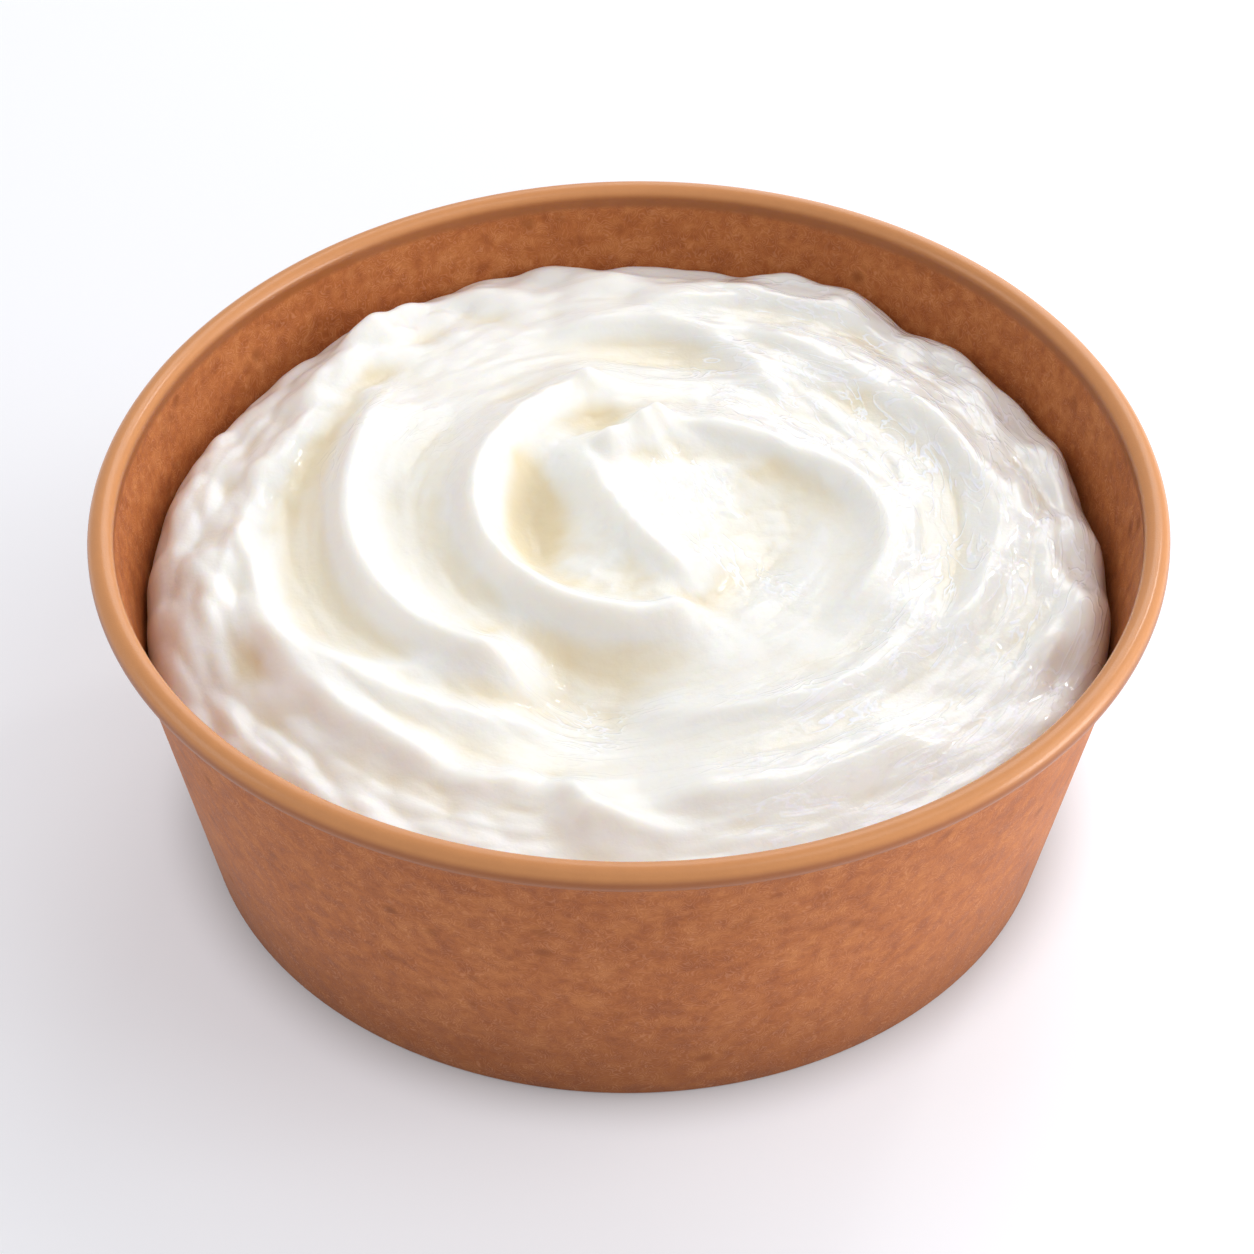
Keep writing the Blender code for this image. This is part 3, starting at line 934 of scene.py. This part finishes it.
    def mark(self, mesh: bpy.types.Mesh, points: np.ndarray, top: int,
             share: np.ndarray) -> None:
        """Write the attributes that steer the skin: both flows, wetness, lumps and border.

        Args:
            mesh: The yogurt's mesh.
            points: Its points in mm, on the rim's own middle.
            top: Number of points that belong to the top.
            share: 0 at the middle and 1 at the wall, for the top's points.
        """
        x, y = points[:, 0], points[:, 1]
        dx, dy = x - self.swirl_x, y - self.swirl_y
        angle, reach = np.arctan2(dy, dx), np.hypot(dx, dy)
        flow = np.stack([np.cos(angle), np.sin(angle), reach], axis=1)
        on_top = np.zeros(len(x))
        on_top[:top] = smooth_step((1.0 - share) / 0.03)

        # In the scoop the skin was drawn down from the peak, so its flow fans out from there.
        fan_x, fan_y = x - self.fan_x, y - self.fan_y
        fan_reach = np.hypot(fan_x, fan_y)
        fan_turn = np.arctan2(fan_y, fan_x) + math.pi / 2.0
        fold_flow = np.stack([fan_turn * self.fan_radius, fan_reach, np.zeros(len(x))], axis=1)
        fold_wet = np.zeros(len(x))
        for spot_x, spot_y, size in self.fold_spots:
            fold_wet += np.exp(-((x - spot_x) ** 2 + (y - spot_y) ** 2) / size ** 2)
        fold_wet = np.clip(fold_wet, 0.0, 1.0) * on_top

        # The film of whey is thickest on the right, outside the scoop, and at the front tips.
        outside = np.hypot(x - self.dry_x, y - self.dry_y) - self.dry_radius
        outside = smooth_step(outside / 10.0)
        wet = 0.22 + 0.78 * outside * smooth_step((x - 2.0) / 22.0)
        for spot_x, spot_y, size, gain in self.wet_spots:
            wet += gain * np.exp(-((x - spot_x) ** 2 + (y - spot_y) ** 2) / size ** 2)
        wet = np.clip(wet, 0.0, 1.0) * on_top * (1.0 - fold_wet)

        # The yogurt was spooned against the wall, so its border is lumpy, most on the left.
        lump = np.zeros(len(x))
        lump[:top] = smooth_step((share - self.lumps_from) / 0.24)
        lump *= 0.55 + 0.75 * smooth_step((-x - 5.0) / 30.0)
        lump[:top] += 0.12 * smooth_step((1.0 - share) / 0.1)

        border = np.zeros(len(x))
        border[:top] = smooth_step((share - self.scallops_from) / 0.16)
        border *= smooth_step((0.6 * x + y + 20.0) / 30.0)

        for name, values in (("flow", flow), ("fold_flow", fold_flow), ("fold_wet", fold_wet),
                             ("wet", wet), ("lump", lump), ("border", border)):
            kind, part = ("FLOAT", "value") if values.ndim == 1 else ("FLOAT_VECTOR", "vector")
            mesh.attributes.new(name, kind, "POINT").data.foreach_set(part, values.ravel())

    def sizes(self) -> dict[str, float]:
        """Sizes that the node tree takes.

        Returns:
            Input names with their values.
        """
        bowl = self.bowl
        return {
            "Lump": self.lump, "Lump Width": self.lump_width, "Lump Turns": self.lump_turns,
            "Streak": self.streak, "Streak Width": self.streak_width,
            "Streak Turns": self.streak_turns, "Scallop": self.scallop,
            "Scallop Scale": self.scallop_scale, "Pebble": self.pebble,
            "Pebble Width": self.pebble_width, "Pebble Turns": self.pebble_turns,
            "Wall Slope": (bowl.neck_radius - bowl.base_radius) / bowl.neck_height,
            "Wall Radius": bowl.neck_radius}

    def tree(self, material: bpy.types.Material) -> bpy.types.NodeTree:
        """Node tree that lumps and wrinkles the skin and marks its hollows for painted shade.

        Args:
            material: The yogurt's material.

        Returns:
            The tree.
        """
        tree, size = new_tree("wrinkle yogurt", self.sizes())
        add = partial(add_node, tree)
        marks = {name: add("GeometryNodeInputNamedAttribute", {"data_type": kind}, name)
                 for name, kind in (("flow", "FLOAT_VECTOR"), ("wet", "FLOAT"),
                                    ("lump", "FLOAT"), ("border", "FLOAT"))}

        # The flow attribute holds the direction round the swirl's middle as a unit vector, and
        # the distance from it in mm, so noise can be drawn out along the swirl.
        parts = add(SPLIT, None, marks["flow"]).outputs
        drawn = {}
        for label in ("Lump", "Streak", "Pebble"):
            turns = size[f"{label} Turns"]
            drawn[label] = add(JOIN, None, add(MATH, "MULTIPLY", parts["X"], turns),
                               add(MATH, "MULTIPLY", parts["Y"], turns),
                               add(MATH, "DIVIDE", parts["Z"], size[f"{label} Width"]))

        # Lumps are soft pillows with creases between them.
        pillow = add(CELLS, {"feature": "SMOOTH_F1"}, drawn["Lump"], Scale=1.0, Smoothness=0.8,
                     Randomness=1.0)
        soft = add(NOISE, None, drawn["Lump"], Scale=1.3, Detail=1.0, Roughness=0.4)
        lump = add(MATH, "SUBTRACT", soft, add(MATH, "MULTIPLY", pillow, 0.8))
        # Small pebbles of set yogurt sit on the lumps, with narrow creases round each.
        pebble = add(CELLS, {"feature": "SMOOTH_F1"}, drawn["Pebble"], Scale=1.0,
                     Smoothness=0.6, Randomness=1.0)
        pebble = add(MATH, "SUBTRACT", 0.22, add(MATH, "MULTIPLY", pebble, pebble))
        # Along the back and the right the border is scalloped where each spoonful was laid.
        wave = add(NOISE, None, drawn["Lump"], Scale=size["Scallop Scale"], Detail=0.0)
        wave = add(MATH, "SUBTRACT", wave, 0.5)
        streak = add(NOISE, None, drawn["Streak"], Scale=1.0, Detail=2.0, Roughness=0.5,
                     Distortion=0.35)
        streak = add(MATH, "SUBTRACT", streak, 0.5)
        strong = add(MATH, "ADD", marks["wet"], 0.9)

        # Each kind of roughness is strongest where its mark says, and as high as its input.
        heights = []
        for form, factors in ((lump, (marks["lump"], size["Lump"])),
                              (streak, (strong, size["Streak"], 2.0)),
                              (wave, (marks["border"], size["Scallop"])),
                              (pebble, (marks["lump"], size["Pebble"]))):
            for factor in factors:
                form = add(MATH, "MULTIPLY", form, factor)
            heights.append(form)
        raised = heights[0]
        for form in heights[1:]:
            raised = add(MATH, "ADD", raised, form)

        # The skin rises straight up, and out with the wall's slope where it leans on the wall.
        spot = add(SPLIT, None, add("GeometryNodeInputPosition")).outputs
        lean = add(MATH, "MULTIPLY", raised, size["Wall Slope"])
        lean = add(MATH, "DIVIDE", lean, size["Wall Radius"])
        offset = add(JOIN, None, add(MATH, "MULTIPLY", spot["X"], lean),
                     add(MATH, "MULTIPLY", spot["Y"], lean), raised)
        skin = add(MOVE, None, Geometry=size["Geometry"], Offset=offset)

        # A point is in a hollow where the neighbourhood stands higher; stored in mm, for the
        # painted shade in the shader.
        here = add(SPLIT, None, add("GeometryNodeInputPosition")).outputs["Z"]
        around = add("GeometryNodeBlurAttribute", {"data_type": "FLOAT"}, Value=here,
                     Iterations=self.blur_steps)
        deep = add(MATH, "DIVIDE", add(MATH, "SUBTRACT", around, here), MM)
        marked = add("GeometryNodeStoreNamedAttribute", {"data_type": "FLOAT", "domain": "POINT"},
                     Geometry=skin, Name="hollow", Value=deep)
        end_tree(tree, marked, material)
        return tree

    def build(self) -> bpy.types.Object:
        """Build the yogurt, dress it and put it in place of its plain solid.

        Returns:
            The finished yogurt.
        """
        material = self.finish.material()
        piece = self.body()
        grow(piece, self.tree(material), self.sizes(), material)
        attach(piece, ROOT)
        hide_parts("yogurt")
        return piece


@dataclass(frozen=True)
class SoftLight:
    """A square white studio light aimed at the bowl, placed by its angles as seen from there."""

    name: str
    azimuth: float
    elevation: float
    power: float
    size: float = 0.42
    distance: float = 0.9
    aim: tuple[float, float, float] = (0.0, 0.0, 30.0 * MM)

    def build(self) -> None:
        """Hang the light."""
        lamp = bpy.data.lights.new(self.name, "AREA")
        lamp.size = self.size
        lamp.energy = self.power
        thing = bpy.data.objects.new(self.name, lamp)
        turn, lift = math.radians(self.azimuth), math.radians(self.elevation)
        away = Vector((math.cos(turn) * math.cos(lift), math.sin(turn) * math.cos(lift),
                       math.sin(lift)))
        thing.location = Vector(self.aim) + away * self.distance
        thing.rotation_euler = (-away).to_track_quat("-Z", "Y").to_euler()
        bpy.context.scene.collection.objects.link(thing)


@dataclass
class Studio:
    """Pale floor, soft lights and the photograph's camera."""

    round_off: OutOfRound
    floor_half: float = 3.0
    floor_finish: TableFinish = field(default_factory=TableFinish)
    sky: str = "#FDFDFF"
    sky_strength: float = 0.58
    lights: tuple[SoftLight, ...] = (
        SoftLight("key softbox, right", 8.0, 31.0, 1.2),
        SoftLight("low softbox, right", -6.0, 7.0, 4.6),
        SoftLight("low softbox, back right", 75.0, 18.0, 0.9),
        SoftLight("high softbox, back right", 78.0, 43.0, 1.3),
        SoftLight("overhead softbox, right", -25.0, 60.0, 0.95),
        SoftLight("overhead softbox, front", -90.0, 67.0, 0.1),
        SoftLight("fill softbox, left", 180.0, 30.0, 1.0),
        SoftLight("small lamp, back right", 50.0, 38.0, 0.8, size=0.09),
    )
    camera_place: tuple[float, float, float] = (-0.608 * MM, -339.85 * MM, 324.19 * MM)
    camera_aim: tuple[float, float, float] = (-0.61 * MM, 0.0, 29.23 * MM)
    lens: float = 90.5

    def build_floor(self) -> None:
        """Lay the floor."""
        half = self.floor_half
        corners = np.array([(-half, -half, 0.0), (half, -half, 0.0), (half, half, 0.0),
                            (-half, half, 0.0)])
        floor = mesh_object("studio_floor", corners, [(0, 1, 2, 3)])
        floor.data.materials.append(self.floor_finish.material())

    def build_sky(self) -> None:
        """Light the room evenly."""
        world = bpy.data.worlds.new("studio light")
        world.use_nodes = True
        background = world.node_tree.nodes["Background"]
        background.inputs["Color"].default_value = linear(self.sky)
        background.inputs["Strength"].default_value = self.sky_strength
        bpy.context.scene.world = world

    def build_camera(self) -> None:
        """Set the photograph's camera."""
        camera = bpy.data.cameras.new("photo camera")
        camera.lens = self.lens
        camera.sensor_width = 36.0
        camera.clip_start = 0.01
        camera.clip_end = 20.0
        thing = bpy.data.objects.new("photo camera", camera)
        centre = Vector((*self.round_off.centre(), 0.0))
        place, aim = Vector(self.camera_place) - centre, Vector(self.camera_aim) - centre
        thing.location = place
        thing.rotation_euler = (aim - place).to_track_quat("-Z", "Y").to_euler()
        bpy.context.scene.collection.objects.link(thing)
        bpy.context.scene.camera = thing

    def build(self) -> None:
        """Build the floor, the lights and the camera."""
        self.build_floor()
        self.build_sky()
        for light in self.lights:
            light.build()
        self.build_camera()
        bpy.context.scene.view_settings.view_transform = "Standard"


def report(piece: bpy.types.Object) -> None:
    """Log the size of a finished piece.

    Args:
        piece: The piece.
    """
    mesh = piece.data
    triangles = sum(len(face.vertices) - 2 for face in mesh.polygons)
    low = [min(v.co[i] for v in mesh.vertices) / MM for i in range(3)]
    high = [max(v.co[i] for v in mesh.vertices) / MM for i in range(3)]
    log.info("%s: %d triangles, from %s to %s mm", piece.name, triangles,
             [round(v, 1) for v in low], [round(v, 1) for v in high])


def main() -> None:
    """Build the bowl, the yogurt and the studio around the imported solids."""
    logging.basicConfig(level=logging.INFO, format="%(name)s: %(message)s")
    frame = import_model()
    log.info("dressing %d plain solids", len(frame["nodes"]))
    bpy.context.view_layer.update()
    round_off = OutOfRound()
    bowl = PaperBowl(round_off)
    yogurt = Yogurt(bowl)
    report(bowl.build())
    report(yogurt.build())
    Studio(round_off).build()


if __name__ == "__main__":
    main()
